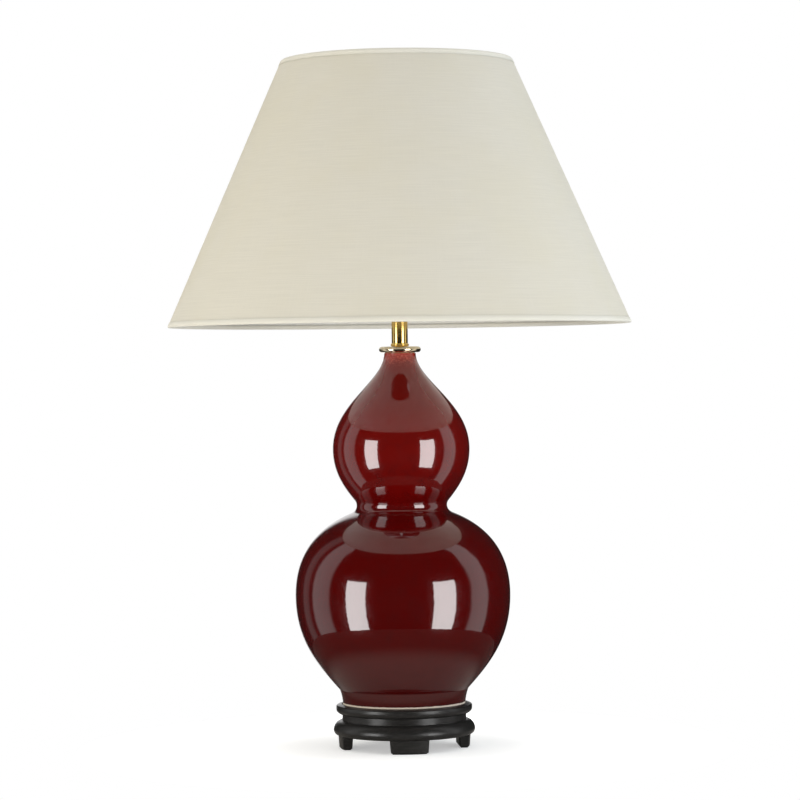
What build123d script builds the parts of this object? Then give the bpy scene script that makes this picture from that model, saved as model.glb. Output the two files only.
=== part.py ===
from build123d import *
import os
from math import atan2, cos, radians, sin, sqrt, tan

os.makedirs("parts", exist_ok=True)

# A table lamp: a hollow double gourd vase on a turned stand, a brass neck, a switched
# lampholder, a harp and a tapered drum shade. All sizes are in millimetres. +Z is up, the
# origin is on the floor under the axis, and the front is towards -Y.

# ------------------------------------------------------------------ driving dimensions

# Clearances
thread_gap = 0.05  # radial, a screwed or sleeved fit inside one fixed group
running_gap = 0.08  # radial, a shaft that turns in its bore
slide_gap = 0.3  # between pieces that move against each other, and at their seats
layer_gap = 0.05  # between layers glued on a cone

# Stand, with its four feet
pad_thickness = 1.0
pad_inset = 1.5
foot_height = 14.0
foot_setback = 0.6  # from the bun's bottom edge to the foot's outer face
foot_depth = 14.8
foot_width = 42.5
foot_draft = 4.0  # degrees, each side leans in towards the floor
foot_round = 1.6
foot_chamfer = 0.8
foot_count = 4
bun_height = 16.0
bun_overhang = 3.1  # how far the bun's widest line stands out past the lip
bun_belly = 5.6  # height of the widest line above the underside
bun_tuck = 4.4  # how far the bottom edge is set in from the widest line
waist_band_height = 7.0
waist_band_depth = 6.5  # set in from the lip
lip_wall = 6.0  # from the seat out to the lip's widest line
lip_belly = 5.5  # height of the lip's widest line above the waist band
lip_side = 2.3
lip_round = 2.0
lip_slope = 1.2  # rise from the round to the edge of the seat
seat_depth = 2.5
seat_play = 1.2
deck_thickness = 12.5
felt_thickness = 1.5
felt_margin = 2.0  # between the felt disc and the feet
felt_lap = 4.0  # width of the felt's glued edge

# Cord bushing, in the back of the stand
cord_bore = 7.2
bushing_wall = 1.8
bushing_flange_width = 1.6
bushing_flange = 1.6
bushing_height = 8.2  # axis above the stand's underside
bushing_recess = 4.8  # depth of the flange's flat in the bun
bushing_tail = 1.0  # how far it reaches into the hollow of the stand
bushing_round = 0.6

# Threaded rod, nut and washers
rod_diameter = 10.0
rod_bore = 7.0
rod_tail = 1.5
rod_chamfer = 0.6
rod_setback = 1.0  # the rod ends this far below the lampholder's floor
hole_clearance = 0.25
base_washer_radius = 20.0
base_washer_thickness = 2.0
lock_washer_radius = 8.6
lock_washer_thickness = 2.5
lock_washer_split = 2.0
nut_across_flats = 17.0
nut_height = 8.0
nut_chamfer = 0.8

# Gourd
gasket_thickness = 1.0
gasket_margin = 1.0
gourd_wall = 5.0
foot_ring_radius = 67.5
foot_ring_wall = 9.5
foot_ring_depth = 4.5
foot_ring_chamfer = 1.0
foot_ring_flare = 3.5  # how far its side stands out at the crease
foot_ring_hollow = 0.7  # how far its side curves in
gourd_base_thickness = 6.0
gourd_hole_play = 1.0
crease_height = 17.5  # above the bottom of the foot ring
crease_slope = 48.0  # degrees above level, where the belly leaves the foot
belly_rise = 103.0  # from the crease to the widest line of the lower bulb
belly_radius = 118.3
belly_lower_foot_pull = 34.8
belly_lower_pull = 49.3
belly_upper_pull = 45.2
shoulder_pull = 43.0
shoulder_slope = 21.8  # degrees above level, where the shoulder meets the waist
waist_rise = 98.4  # from the lower bulb's widest line to the waist
waist_radius = 49.8
waist_round = 8.5
upper_slope = 51.0  # degrees above level, where the upper bulb leaves the waist
upper_start_pull = 18.0
upper_lower_pull = 25.8
upper_rise = 62.1  # from the waist to the widest line of the upper bulb
upper_radius = 75.3
upper_top_pull = 51.1
neck_pull = 30.0
neck_rise = 105.0  # from the upper bulb's widest line to the rim
neck_radius = 17.3

# Neck: washer, cap, collar, tube and bush
neck_washer_thickness = 0.8
neck_washer_margin = 0.9
cap_overhang = 5.7  # past the gourd's rim
cap_thickness = 6.5
spigot_play = 0.5
spigot_depth = 8.0
spigot_wall = 1.5
collar_bulge = 1.15
collar_height = 3.6
tube_radius = 8.9
tube_wall = 1.0
tube_length = 62.2
bush_overhang = 0.7
bush_flange = 1.5
bush_depth = 8.0

# Harp saddle, harp and ferrules
saddle_thickness = 1.5
saddle_width = 7.0
saddle_pad_radius = 9.5
saddle_room = 9.4  # from the lampholder's skirt to the saddle's ears
ear_height = 13.5
ear_round = 1.5
harp_wire = 4.0
harp_leg_height = 35.0
harp_half_width = 62.5
harp_wide_height = 84.0
harp_height = 224.8  # from the saddle to the wire's centre at the top
harp_top_half = 14.0
harp_foot_bend = 20.0
harp_side_bend = 60.0
harp_top_bend = 12.0
harp_pad_radius = 6.0
ferrule_wall = 0.8
ferrule_setback = 1.0  # the ferrule ends this far below the ear's tip
ferrule_round = 1.4

# Swivel stud on top of the harp
stud_head_step = 1.5
stud_head_height = 1.6
stud_stem_radius = 2.0
stud_shoulder_step = 1.6
stud_shoulder_height = 1.9
stud_post_radius = 3.175
stud_post_height = 13.0
stud_play = 0.1

# Lampholder
socket_boss_wall = 3.0
socket_boss_height = 7.0
socket_floor = 10.0
socket_floor_radius = 9.5
socket_flare_height = 16.0
socket_skirt_height = 22.0
socket_wall = 0.8
socket_shell_height = 50.0
socket_bead = 0.5
liner_wall = 0.8
liner_play = 0.1
liner_inset = 2.0
holder_air = 1.15  # between the screw shell and the liner
switch_pedestal_height = 10.0
switch_pedestal_play = 0.5
switch_body_height = 20.0
switch_play = 0.3
terminal_play = 0.55
terminal_slot_play = 1.0
terminal_screw_radius = 1.6
terminal_screw_length = 5.0
terminal_head_radius = 3.0
terminal_head = 1.7
set_screw_radius = 1.5
set_screw_height = 4.0
set_screw_slot = 0.6
screw_shell_wall = 0.6
screw_shell_height = 24.0
contact_radius = 5.0
contact_gap = 3.0
contact_button_radius = 2.5
contact_thickness = 0.6
contact_height = 2.0

# Rotary switch key
spindle_radius = 2.0
spindle_rise = 11.0  # the spindle's axis above the switch body's underside
spindle_inner = 3.0
spindle_hole_play = 1.2
knob_wall = 2.2
knob_hub_gap = 1.6
knob_hub_length = 8.0
knob_end_wall = 1.0
knob_key_lap = 4.0  # the key's blade reaches this far back over the hub
knob_key_width = 14.0
knob_key_thickness = 4.4
knob_key_length = 12.0
knob_round = 1.4
knob_end_round = 0.7

# Bulb
bulb_contact_radius = 4.5
bulb_contact_height = 1.2
bulb_insulator_step = 1.1
bulb_insulator_height = 3.0
bulb_cap_radius = 13.0
bulb_cap_wall = 0.4
bulb_cap_height = 23.0
bulb_cap_taper = 2.0
bulb_cap_taper_height = 2.5
bulb_neck_play = 0.1
bulb_neck_tuck = 5.0
bulb_neck_height = 4.5
bulb_radius = 30.0
bulb_wall = 1.0
bulb_length = 108.0

# Shade
shade_height = 292.0
shade_bottom_radius = 255.2
shade_top_radius = 127.0
fabric_thickness = 0.6
lining_thickness = 0.6
ring_wire = 3.0
trim_thickness = 0.4
trim_lap = 3.2  # the hem's outer leg, past the middle of the wire
bottom_trim_tuck = 1.7  # the hem's inner leg, past the middle of the wire
top_trim_tuck = 0.2
rim_crease = 1.4  # across the hem's creased corners
spider_hub_radius = 9.0
spider_hub_thickness = 2.0
spider_drop = 19.9  # the hub lies this far below the shade's top edge
spider_arm_count = 3
spider_arm_rise = 3.0
spider_arm_wire = 2.5
spider_bend = 8.0
spider_weld = 0.6  # an arm ends this far below the middle of the ring's wire

# Finial
finial_base_radius = 7.0
finial_base = 2.0
finial_wall = 1.55
finial_ball_radius = 6.1

# ------------------------------------------------------------------ radii out from the axis

rod_radius = rod_diameter / 2
rod_hole_radius = rod_radius + hole_clearance
foot_ring_bore = foot_ring_radius - foot_ring_wall
crease_radius = foot_ring_radius + foot_ring_flare
gourd_hole_radius = rod_radius + gourd_hole_play
neck_bore = neck_radius - gourd_wall
cap_radius = neck_radius + cap_overhang
spigot_radius = neck_bore - spigot_play
tube_bore = tube_radius - tube_wall

seat_radius = foot_ring_radius + seat_play
lip_radius = seat_radius + lip_wall
waist_band_radius = lip_radius - waist_band_depth
bun_radius = lip_radius + bun_overhang
bun_base_radius = bun_radius - bun_tuck
foot_reach = bun_base_radius - foot_setback
foot_inner = foot_reach - foot_depth
felt_radius = foot_inner - felt_margin
cavity_radius = felt_radius - felt_lap
bushing_radius = cord_bore / 2 + bushing_wall
bushing_flange_radius = bushing_radius + bushing_flange_width
bushing_seat = bun_radius - bushing_recess
bushing_length = bushing_seat - cavity_radius + bushing_tail

screw_shell_bore = bulb_cap_radius + slide_gap
screw_shell_radius = screw_shell_bore + screw_shell_wall
liner_bore = screw_shell_radius + holder_air
liner_radius = liner_bore + liner_wall
socket_bore = liner_radius + liner_play
socket_radius = socket_bore + socket_wall
skirt_bore = socket_radius + thread_gap
skirt_radius = skirt_bore + socket_wall
socket_boss_radius = rod_radius + socket_boss_wall
switch_radius = liner_bore - switch_play
terminal_flat = switch_radius - terminal_head - terminal_play
spindle_hole_radius = spindle_radius + spindle_hole_play

harp_radius = harp_wire / 2
ear_inner = skirt_radius + saddle_room
ear_outer = ear_inner + saddle_thickness
leg_center = ear_inner - slide_gap - harp_radius
stud_shoulder_radius = stud_post_radius + stud_shoulder_step

# ------------------------------------------------------------------ levels up the axis

foot_top = pad_thickness + foot_height
bun_top = foot_top + bun_height
band_top = bun_top + waist_band_height
lip_shoulder_level = band_top + lip_belly + lip_side + lip_round
lip_top = lip_shoulder_level + lip_slope
seat_floor = lip_top - seat_depth
deck_underside = seat_floor - deck_thickness
base_washer_bottom = deck_underside - base_washer_thickness
lock_washer_bottom = base_washer_bottom - lock_washer_thickness
nut_bottom = lock_washer_bottom - nut_height
rod_bottom = nut_bottom - rod_tail

gourd_foot = seat_floor + gasket_thickness
crease_level = gourd_foot + crease_height
belly_level = crease_level + belly_rise
waist_level = belly_level + waist_rise
upper_level = waist_level + upper_rise
gourd_top = upper_level + neck_rise

cap_bottom = gourd_top + neck_washer_thickness
cap_top = cap_bottom + cap_thickness
tube_top = cap_top + tube_length
saddle_bottom = tube_top + bush_flange
saddle_top = saddle_bottom + saddle_thickness

socket_base = saddle_top
socket_floor_level = socket_base + socket_floor
rod_top = socket_floor_level - rod_setback
shell_bottom = socket_base + socket_flare_height
shell_top = shell_bottom + socket_shell_height
switch_bottom = socket_floor_level + switch_pedestal_height
spindle_height = switch_bottom + spindle_rise
holder_top = switch_bottom + switch_body_height
contact_top = holder_top + contact_height

bulb_bottom = contact_top + slide_gap
bulb_insulator_bottom = bulb_bottom + bulb_contact_height
bulb_cap_bottom = bulb_insulator_bottom + bulb_insulator_height
bulb_cap_top = bulb_cap_bottom + bulb_cap_height
bulb_center = bulb_bottom + bulb_length - bulb_radius

leg_bottom = saddle_top + slide_gap
harp_top = saddle_top + harp_height
stud_shoulder_bottom = harp_top + harp_radius + stud_play
stud_shoulder_top = stud_shoulder_bottom + stud_shoulder_height
stud_top = stud_shoulder_top + stud_post_height
hub_bottom = stud_shoulder_top + slide_gap
hub_middle = hub_bottom + spider_hub_thickness / 2
hub_top = hub_bottom + spider_hub_thickness
finial_bottom = hub_top + slide_gap

shade_top = hub_middle + spider_drop
shade_bottom = shade_top - shade_height
shade_lean = atan2(shade_bottom_radius - shade_top_radius, shade_height)
ring_radius = ring_wire / 2
wall_width = (fabric_thickness + lining_thickness) / cos(shade_lean) + 2 * layer_gap
trim_width = trim_thickness / cos(shade_lean)
ring_width = ring_wire / cos(shade_lean) + 2 * layer_gap
rim_width = 2 * trim_width + wall_width + ring_width
rim_round = rim_width / 2


def shade_radius(height):
    """Outer radius of the shade at a height above the floor."""
    share = (height - shade_bottom) / shade_height
    return shade_bottom_radius + share * (shade_top_radius - shade_bottom_radius)


def shade_point(depth, height):
    """A point in the section of the shade, set in by depth from its outer face."""
    return (shade_radius(height) - depth, height)


# ------------------------------------------------------------------ stand

with BuildPart() as stand_body:
    with BuildSketch(Plane.XZ):
        with BuildLine():
            bun_wide = (bun_radius, foot_top + bun_belly)
            bun_edge = (bun_base_radius, foot_top)
            band_low = (waist_band_radius, bun_top)
            band_high = (waist_band_radius, band_top)
            lip_low = (lip_radius, band_top + lip_belly)
            lip_high = (lip_radius, band_top + lip_belly + lip_side)
            lip_shoulder = (lip_radius - lip_round, lip_shoulder_level)
            TangentArc(bun_wide, bun_edge, tangent=(0, -1))
            TangentArc(bun_wide, band_low, tangent=(0, 1))
            Line(band_low, band_high)
            TangentArc(lip_low, band_high, tangent=(0, -1))
            Line(lip_low, lip_high)
            TangentArc(lip_high, lip_shoulder, tangent=(0, 1))
            Polyline(
                lip_shoulder,
                (seat_radius, lip_top),
                (seat_radius, seat_floor),
                (rod_hole_radius, seat_floor),
                (rod_hole_radius, deck_underside),
                (cavity_radius, deck_underside),
                (cavity_radius, foot_top),
                bun_edge,
            )
        make_face()
    revolve(axis=Axis.Z)
    # The cord's hole runs through the back wall, with a flat for the bushing's flange.
    bushing_plane = Plane(
        origin=(0, bushing_seat, foot_top + bushing_height), x_dir=(1, 0, 0), z_dir=(0, 1, 0)
    )
    with BuildSketch(bushing_plane):
        Circle(bushing_flange_radius + slide_gap)
    extrude(amount=bun_radius - bushing_seat, mode=Mode.SUBTRACT)
    with BuildSketch(bushing_plane):
        Circle(bushing_radius + thread_gap)
    extrude(amount=-bushing_length, mode=Mode.SUBTRACT)
stand_body.part.label = "stand_body"
export_step(stand_body.part, "parts/stand_body.step")


def foot_outline():
    """Plan of one foot at its top, centred on local -Y."""
    Circle(foot_reach)
    with Locations((0, -foot_inner)):
        Rectangle(foot_width, foot_reach, align=(Align.CENTER, Align.MAX), mode=Mode.INTERSECT)


foot_shrink = foot_height * tan(radians(foot_draft))

for number in range(foot_count):
    turn = radians(360 / foot_count * number)
    across = (cos(turn), sin(turn), 0)
    with BuildPart() as stand_foot:
        with BuildSketch(Plane(origin=(0, 0, foot_top), x_dir=across, z_dir=(0, 0, 1))):
            foot_outline()
        extrude(amount=-foot_height, taper=foot_draft)
        fillet(stand_foot.edges().group_by(Axis.Z)[1], radius=foot_round)
        chamfer(stand_foot.edges().group_by(Axis.Z)[0], length=foot_chamfer)
    stand_foot.part.label = f"stand_foot_{number + 1}"
    export_step(stand_foot.part, f"parts/stand_foot_{number + 1}.step")

    with BuildPart() as foot_pad:
        with BuildSketch(Plane(origin=(0, 0, 0), x_dir=across, z_dir=(0, 0, 1))):
            foot_outline()
            offset(amount=-(foot_shrink + pad_inset), mode=Mode.REPLACE)
        extrude(amount=pad_thickness)
    foot_pad.part.label = f"foot_pad_{number + 1}"
    export_step(foot_pad.part, f"parts/foot_pad_{number + 1}.step")

with BuildPart() as underside_felt:
    with BuildSketch(Plane.XY.offset(foot_top)):
        Circle(felt_radius)
    extrude(amount=-felt_thickness)
underside_felt.part.label = "underside_felt"
export_step(underside_felt.part, "parts/underside_felt.step")

with BuildPart() as cord_bushing:
    with BuildSketch(bushing_plane):
        Circle(bushing_flange_radius)
    extrude(amount=bushing_flange)
    fillet(cord_bushing.edges().sort_by(Axis.Y)[-1], radius=bushing_round)
    with BuildSketch(bushing_plane):
        Circle(bushing_radius)
    extrude(amount=-bushing_length)
    with Locations(bushing_plane.offset(bushing_flange)):
        Hole(cord_bore / 2)
cord_bushing.part.label = "cord_bushing"
export_step(cord_bushing.part, "parts/cord_bushing.step")

# ------------------------------------------------------------------ rod, washers and nut

with BuildPart() as base_washer:
    with BuildSketch(Plane.XY.offset(base_washer_bottom)):
        Circle(base_washer_radius)
        Circle(rod_hole_radius, mode=Mode.SUBTRACT)
    extrude(amount=base_washer_thickness)
base_washer.part.label = "base_washer"
export_step(base_washer.part, "parts/base_washer.step")

with BuildPart() as lock_washer:
    with BuildSketch(Plane.XY.offset(lock_washer_bottom)):
        Circle(lock_washer_radius)
        Circle(rod_hole_radius, mode=Mode.SUBTRACT)
        Rectangle(
            lock_washer_radius * 2,
            lock_washer_split,
            align=(Align.MIN, Align.CENTER),
            mode=Mode.SUBTRACT,
        )
    extrude(amount=lock_washer_thickness)
lock_washer.part.label = "lock_washer"
export_step(lock_washer.part, "parts/lock_washer.step")

with BuildPart() as base_nut:
    with BuildSketch(Plane.XY.offset(nut_bottom)):
        RegularPolygon(radius=nut_across_flats / 2, side_count=6, major_radius=False)
    extrude(amount=nut_height)
    chamfer(base_nut.edges().group_by(Axis.Z)[0], length=nut_chamfer)
    with Locations((0, 0, nut_bottom + nut_height)):
        Hole(rod_radius + thread_gap)
base_nut.part.label = "base_nut"
export_step(base_nut.part, "parts/base_nut.step")

with BuildPart() as threaded_rod:
    with BuildSketch(Plane.XY.offset(rod_bottom)):
        Circle(rod_radius)
    extrude(amount=rod_top - rod_bottom)
    chamfer(threaded_rod.edges(), length=rod_chamfer)
    with Locations((0, 0, rod_top)):
        Hole(rod_bore / 2)
threaded_rod.part.label = "threaded_rod"
export_step(threaded_rod.part, "parts/threaded_rod.step")

# ------------------------------------------------------------------ gourd

with BuildPart() as seat_gasket:
    with BuildSketch(Plane.XY.offset(seat_floor)):
        Circle(foot_ring_radius - gasket_margin)
        Circle(foot_ring_bore + gasket_margin, mode=Mode.SUBTRACT)
    extrude(amount=gasket_thickness)
seat_gasket.part.label = "seat_gasket"
export_step(seat_gasket.part, "parts/seat_gasket.step")


def gourd_side(inset):
    """Side of the gourd from its foot crease to its rim, set in from the glaze by inset.

    Two bulbs, each of two curves that meet upright at its widest line, with an arc between
    them for the waist. Returns the lowest and the highest point.
    """
    leave = radians(crease_slope)
    fall = radians(shoulder_slope)
    spring = radians(upper_slope)
    shrink = 1 - inset / belly_radius
    waist_arc = waist_round + inset
    low = Vector(crease_radius - inset * sin(leave), crease_level + inset * cos(leave))
    belly = Vector(belly_radius - inset, belly_level)
    waist_center = Vector(waist_radius + waist_round, waist_level)
    waist_in = waist_center + Vector(-sin(fall), -cos(fall)) * waist_arc
    waist_mid = waist_center - Vector(waist_arc, 0)
    waist_out = waist_center + Vector(-sin(spring), cos(spring)) * waist_arc
    upper = Vector(upper_radius - inset, upper_level)
    rim = Vector(neck_radius - inset, gourd_top)
    Bezier(
        low,
        low + Vector(cos(leave), sin(leave)) * belly_lower_foot_pull * shrink,
        belly - Vector(0, belly_lower_pull * shrink),
        belly,
    )
    Bezier(
        belly,
        belly + Vector(0, belly_upper_pull * shrink),
        waist_in + Vector(cos(fall), -sin(fall)) * shoulder_pull * shrink,
        waist_in,
    )
    ThreePointArc(waist_in, waist_mid, waist_out)
    Bezier(
        waist_out,
        waist_out + Vector(cos(spring), sin(spring)) * upper_start_pull * shrink,
        upper - Vector(0, upper_lower_pull * shrink),
        upper,
    )
    Bezier(
        upper,
        upper + Vector(0, upper_top_pull * shrink),
        rim - Vector(0, neck_pull * shrink),
        rim,
    )
    return low, rim


with BuildPart() as gourd_body:
    with BuildSketch(Plane.XZ):
        with BuildLine():
            outer_low, outer_rim = gourd_side(0)
            inner_low, inner_rim = gourd_side(gourd_wall)
            foot_underside = gourd_foot + foot_ring_depth
            gourd_floor = foot_underside + gourd_base_thickness
            floor_run = (inner_low.Y - gourd_floor) / tan(radians(crease_slope))
            foot_edge = (foot_ring_radius, gourd_foot + foot_ring_chamfer)
            foot_middle = (
                (foot_ring_radius + crease_radius) / 2 - foot_ring_hollow,
                (foot_edge[1] + crease_level) / 2,
            )
            Line(outer_rim, inner_rim)
            Polyline(
                inner_low,
                (inner_low.X - floor_run, gourd_floor),
                (gourd_hole_radius, gourd_floor),
                (gourd_hole_radius, foot_underside),
                (foot_ring_bore, foot_underside),
                (foot_ring_bore, gourd_foot),
                (foot_ring_radius - foot_ring_chamfer, gourd_foot),
                foot_edge,
            )
            ThreePointArc(foot_edge, foot_middle, outer_low)
        make_face()
    revolve(axis=Axis.Z)
gourd_body.part.label = "gourd_body"
export_step(gourd_body.part, "parts/gourd_body.step")

# ------------------------------------------------------------------ neck

with BuildPart() as neck_washer:
    with BuildSketch(Plane.XY.offset(gourd_top)):
        Circle(neck_radius - neck_washer_margin)
        Circle(neck_bore, mode=Mode.SUBTRACT)
    extrude(amount=neck_washer_thickness)
neck_washer.part.label = "neck_washer"
export_step(neck_washer.part, "parts/neck_washer.step")

with BuildPart() as vase_cap:
    with BuildSketch(Plane.XZ):
        with BuildLine():
            cap_edge = cap_radius - cap_thickness / 2
            ThreePointArc(
                (cap_edge, cap_bottom), (cap_radius, cap_bottom + cap_thickness / 2), (cap_edge, cap_top)
            )
            Polyline(
                (cap_edge, cap_top),
                (rod_hole_radius, cap_top),
                (rod_hole_radius, cap_bottom),
                (spigot_radius - spigot_wall, cap_bottom),
                (spigot_radius - spigot_wall, cap_bottom - spigot_depth),
                (spigot_radius, cap_bottom - spigot_depth),
                (spigot_radius, cap_bottom),
                (cap_edge, cap_bottom),
            )
        make_face()
    revolve(axis=Axis.Z)
vase_cap.part.label = "vase_cap"
export_step(vase_cap.part, "parts/vase_cap.step")

with BuildPart() as neck_collar:
    with BuildSketch(Plane.XZ):
        with BuildLine():
            collar_bore = tube_radius + thread_gap
            collar_top = cap_top + collar_height
            ThreePointArc(
                (collar_bore + thread_gap, cap_top),
                (tube_radius + collar_bulge, cap_top + collar_height / 2),
                (collar_bore + thread_gap, collar_top),
            )
            Polyline(
                (collar_bore + thread_gap, collar_top),
                (collar_bore, collar_top),
                (collar_bore, cap_top),
                (collar_bore + thread_gap, cap_top),
            )
        make_face()
    revolve(axis=Axis.Z)
neck_collar.part.label = "neck_collar"
export_step(neck_collar.part, "parts/neck_collar.step")

with BuildPart() as neck_tube:
    with BuildSketch(Plane.XY.offset(cap_top)):
        Circle(tube_radius)
        Circle(tube_bore, mode=Mode.SUBTRACT)
    extrude(amount=tube_length)
neck_tube.part.label = "neck_tube"
export_step(neck_tube.part, "parts/neck_tube.step")

with BuildPart() as neck_bush:
    with BuildSketch(Plane.XY.offset(tube_top)):
        Circle(tube_radius + bush_overhang)
    extrude(amount=bush_flange)
    with BuildSketch(Plane.XY.offset(tube_top)):
        Circle(tube_bore - thread_gap)
    extrude(amount=-bush_depth)
    with Locations((0, 0, saddle_bottom)):
        Hole(rod_hole_radius)
neck_bush.part.label = "neck_bush"
export_step(neck_bush.part, "parts/neck_bush.step")

# ------------------------------------------------------------------ harp saddle

with BuildPart() as harp_saddle:
    with BuildSketch(Plane.XY.offset(saddle_bottom)):
        Rectangle(2 * ear_outer, saddle_width)
        Circle(saddle_pad_radius)
        Circle(rod_hole_radius, mode=Mode.SUBTRACT)
    extrude(amount=saddle_thickness)
    for side in (-1, 1):
        ear_middle = side * (ear_inner + ear_outer) / 2
        with BuildSketch(Plane.XY.offset(saddle_bottom)):
            with Locations((ear_middle, 0)):
                Rectangle(saddle_thickness, saddle_width)
        extrude(amount=ear_height)
    ear_tips = harp_saddle.edges().filter_by(Axis.X).group_by(Axis.Z)[-1]
    fillet(ear_tips, radius=ear_round)
harp_saddle.part.label = "harp_saddle"
export_step(harp_saddle.part, "parts/harp_saddle.step")

# ------------------------------------------------------------------ lampholder

set_screw_level = socket_base + set_screw_height
set_screw_plane = Plane(origin=(0, rod_radius + thread_gap, set_screw_level), z_dir=(0, 1, 0))

with BuildPart() as socket_cap:
    with BuildSketch(Plane.XZ):
        with BuildLine():
            Polyline(
                (rod_radius + thread_gap, socket_base),
                (socket_boss_radius, socket_base),
                (socket_boss_radius, socket_base + socket_boss_height),
                (skirt_radius, shell_bottom),
                (skirt_radius, socket_base + socket_skirt_height),
                (skirt_bore, socket_base + socket_skirt_height),
                (skirt_bore, shell_bottom),
                (socket_bore, shell_bottom),
                (socket_floor_radius, socket_floor_level),
                (rod_radius + thread_gap, socket_floor_level),
                close=True,
            )
        make_face()
    revolve(axis=Axis.Z)
    with BuildSketch(set_screw_plane):
        Circle(set_screw_radius + thread_gap)
    extrude(amount=socket_boss_radius, mode=Mode.SUBTRACT)
socket_cap.part.label = "socket_cap"
export_step(socket_cap.part, "parts/socket_cap.step")

with BuildPart() as socket_set_screw:
    with BuildSketch(set_screw_plane):
        Circle(set_screw_radius)
    extrude(amount=socket_boss_radius - rod_radius - thread_gap)
    with BuildSketch(set_screw_plane.offset(socket_boss_radius - rod_radius - thread_gap)):
        Rectangle(2 * socket_boss_radius, set_screw_slot)
    extrude(amount=-set_screw_slot, mode=Mode.SUBTRACT)
socket_set_screw.part.label = "socket_set_screw"
export_step(socket_set_screw.part, "parts/socket_set_screw.step")

# The key's side of the lampholder faces the front, square to the harp.
spindle_plane = Plane(origin=(0, 0, spindle_height), x_dir=(1, 0, 0), z_dir=(0, -1, 0))

with BuildPart() as socket_shell:
    with BuildSketch(Plane.XZ):
        with BuildLine():
            bead_center = (socket_radius, shell_top - socket_bead)
            Polyline(
                (socket_radius, shell_top - 2 * socket_bead),
                (socket_radius, shell_bottom),
                (socket_bore, shell_bottom),
                (socket_bore, shell_top),
                (socket_radius, shell_top),
            )
            ThreePointArc(
                (socket_radius, shell_top),
                (socket_radius + socket_bead, bead_center[1]),
                (socket_radius, shell_top - 2 * socket_bead),
            )
        make_face()
    revolve(axis=Axis.Z)
    with BuildSketch(spindle_plane):
        Circle(spindle_hole_radius)
    extrude(amount=2 * socket_radius, mode=Mode.SUBTRACT)
socket_shell.part.label = "socket_shell"
export_step(socket_shell.part, "parts/socket_shell.step")

with BuildPart() as socket_liner:
    with BuildSketch(Plane.XY.offset(shell_bottom)):
        Circle(liner_radius)
        Circle(liner_bore, mode=Mode.SUBTRACT)
    extrude(amount=socket_shell_height - liner_inset)
    with BuildSketch(spindle_plane):
        Circle(spindle_hole_radius)
    extrude(amount=2 * socket_radius, mode=Mode.SUBTRACT)
socket_liner.part.label = "socket_liner"
export_step(socket_liner.part, "parts/socket_liner.step")

with BuildPart() as switch_body:
    with BuildSketch(Plane.XY.offset(switch_bottom)):
        Circle(switch_radius)
    extrude(amount=switch_body_height)
    with BuildSketch(Plane.XY.offset(socket_floor_level)):
        Circle(socket_floor_radius - switch_pedestal_play)
        Circle(rod_radius, mode=Mode.SUBTRACT)
    extrude(amount=switch_pedestal_height)
    for side in (-1, 1):
        terminal_plane = Plane(origin=(side * terminal_flat, 0, spindle_height), z_dir=(side, 0, 0))
        terminal_slot = 2 * (terminal_head_radius + terminal_slot_play)
        with BuildSketch(terminal_plane):
            Rectangle(terminal_slot, terminal_slot)
        extrude(amount=switch_radius, mode=Mode.SUBTRACT)
        with BuildSketch(terminal_plane):
            Circle(terminal_screw_radius + thread_gap)
        extrude(amount=-terminal_screw_length, mode=Mode.SUBTRACT)
    with BuildSketch(spindle_plane.offset(-spindle_inner)):
        Circle(spindle_radius + running_gap)
    extrude(amount=2 * socket_radius, mode=Mode.SUBTRACT)
switch_body.part.label = "switch_body"
export_step(switch_body.part, "parts/switch_body.step")

with BuildPart() as terminal_screws:
    for side in (-1, 1):
        terminal_plane = Plane(origin=(side * terminal_flat, 0, spindle_height), z_dir=(side, 0, 0))
        with BuildSketch(terminal_plane):
            Circle(terminal_head_radius)
        extrude(amount=terminal_head)
        with BuildSketch(terminal_plane):
            Circle(terminal_screw_radius)
        extrude(amount=-terminal_screw_length)
terminal_screws.part.label = "terminal_screws"
export_step(terminal_screws.part, "parts/terminal_screws.step")

with BuildPart() as screw_shell:
    with BuildSketch(Plane.XY.offset(holder_top)):
        Circle(screw_shell_radius)
        Circle(contact_radius + contact_gap, mode=Mode.SUBTRACT)
    extrude(amount=screw_shell_wall)
    with BuildSketch(Plane.XY.offset(holder_top)):
        Circle(screw_shell_radius)
        Circle(screw_shell_bore, mode=Mode.SUBTRACT)
    extrude(amount=screw_shell_height)
screw_shell.part.label = "screw_shell"
export_step(screw_shell.part, "parts/screw_shell.step")

with BuildPart() as centre_contact:
    with BuildSketch(Plane.XY.offset(holder_top)):
        Circle(contact_radius)
    extrude(amount=contact_thickness)
    with BuildSketch(Plane.XY.offset(holder_top)):
        Circle(contact_button_radius)
    extrude(amount=contact_height)
centre_contact.part.label = "centre_contact"
export_step(centre_contact.part, "parts/centre_contact.step")

knob_hub_start = socket_radius + knob_hub_gap
knob_bore_depth = knob_hub_length - knob_end_wall
knob_bore_end = knob_hub_start + knob_bore_depth

with BuildPart() as switch_spindle:
    with BuildSketch(spindle_plane.offset(slide_gap - spindle_inner)):
        Circle(spindle_radius)
    extrude(amount=knob_bore_end + spindle_inner - slide_gap)
switch_spindle.part.label = "switch_spindle"
export_step(switch_spindle.part, "parts/switch_spindle.step")

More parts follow.
